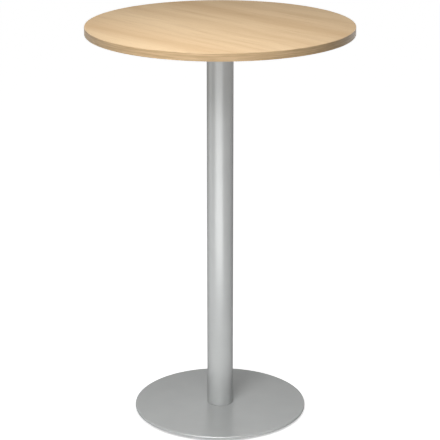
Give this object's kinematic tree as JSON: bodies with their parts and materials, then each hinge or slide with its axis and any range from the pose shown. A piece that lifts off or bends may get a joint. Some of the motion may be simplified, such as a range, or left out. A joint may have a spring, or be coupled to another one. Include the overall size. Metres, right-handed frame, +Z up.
{
  "type": "standing meeting table",
  "caption": "Round standing-height table: a wood-decor top on a silver steel column with a flat round steel foot on levelling glides.",
  "frame": {"origin": "on the floor, under the axis of the column", "axes": "+Z up; the picture is taken from the -Y side, with +X to the right"},
  "size_m": [0.75, 0.75, 1.145],
  "materials": {
    "wood_decor_board": "melamine-faced chipboard, fine satin",
    "decor_edge_band": "printed ABS edging, satin",
    "silver_powder_coat": "fine metallic powder coat, semi-gloss",
    "bare_steel": "turned, welded in",
    "black_oxide_steel": "black oxide",
    "zinc_plated_steel": "bright zinc",
    "glide_plastic": "moulded polyamide"
  },
  "bodies": {
    "table": {"base_disc": "silver_powder_coat", "column_tube": "silver_powder_coat", "column_foot_disc": "bare_steel", "column_head_disc": "bare_steel", "head_plate": "silver_powder_coat", "support_arm_1": "silver_powder_coat", "support_arm_2": "silver_powder_coat", "support_arm_3": "silver_powder_coat", "support_arm_4": "silver_powder_coat", "base_bolt_1": "black_oxide_steel", "base_bolt_2": "black_oxide_steel", "base_bolt_3": "black_oxide_steel", "base_bolt_4": "black_oxide_steel", "head_bolt_1": "black_oxide_steel", "head_bolt_2": "black_oxide_steel", "head_bolt_3": "black_oxide_steel", "head_bolt_4": "black_oxide_steel", "board_screw_1": "zinc_plated_steel", "board_screw_2": "zinc_plated_steel", "board_screw_3": "zinc_plated_steel", "board_screw_4": "zinc_plated_steel", "board_screw_5": "zinc_plated_steel", "board_screw_6": "zinc_plated_steel", "board_screw_7": "zinc_plated_steel", "board_screw_8": "zinc_plated_steel", "tabletop_board": "wood_decor_board", "tabletop_edge_band": "decor_edge_band"},
    "pad_1": {"leveller_pad_1": "glide_plastic"},
    "stud_1": {"leveller_stud_1": "zinc_plated_steel"},
    "pad_2": {"leveller_pad_2": "glide_plastic"},
    "stud_2": {"leveller_stud_2": "zinc_plated_steel"},
    "pad_3": {"leveller_pad_3": "glide_plastic"},
    "stud_3": {"leveller_stud_3": "zinc_plated_steel"},
    "pad_4": {"leveller_pad_4": "glide_plastic"},
    "stud_4": {"leveller_stud_4": "zinc_plated_steel"}
  },
  "joints": [
    {"name": "leveller_1_slide", "type": "slide", "parent": "table", "child": "pad_1", "axis": [0, 0, -1], "range_m": [0, 0.003]},
    {"name": "leveller_1_turn", "type": "hinge", "parent": "pad_1", "child": "stud_1", "pos_m": [0.14142, 0.14142, 0], "axis": [0, 0, -1], "range_deg": [0, 864]},
    {"name": "leveller_2_slide", "type": "slide", "parent": "table", "child": "pad_2", "axis": [0, 0, -1], "range_m": [0, 0.003]},
    {"name": "leveller_2_turn", "type": "hinge", "parent": "pad_2", "child": "stud_2", "pos_m": [-0.14142, 0.14142, 0], "axis": [0, 0, -1], "range_deg": [0, 864]},
    {"name": "leveller_3_slide", "type": "slide", "parent": "table", "child": "pad_3", "axis": [0, 0, -1], "range_m": [0, 0.003]},
    {"name": "leveller_3_turn", "type": "hinge", "parent": "pad_3", "child": "stud_3", "pos_m": [-0.14142, -0.14142, 0], "axis": [0, 0, -1], "range_deg": [0, 864]},
    {"name": "leveller_4_slide", "type": "slide", "parent": "table", "child": "pad_4", "axis": [0, 0, -1], "range_m": [0, 0.003]},
    {"name": "leveller_4_turn", "type": "hinge", "parent": "pad_4", "child": "stud_4", "pos_m": [0.14142, -0.14142, 0], "axis": [0, 0, -1], "range_deg": [0, 864]}
  ],
  "couplings": [
    {"joint": "leveller_1_slide", "follows": "leveller_1_turn", "m_per_rad": 0.00019894},
    {"joint": "leveller_2_slide", "follows": "leveller_2_turn", "m_per_rad": 0.00019894},
    {"joint": "leveller_3_slide", "follows": "leveller_3_turn", "m_per_rad": 0.00019894},
    {"joint": "leveller_4_slide", "follows": "leveller_4_turn", "m_per_rad": 0.00019894}
  ]
}
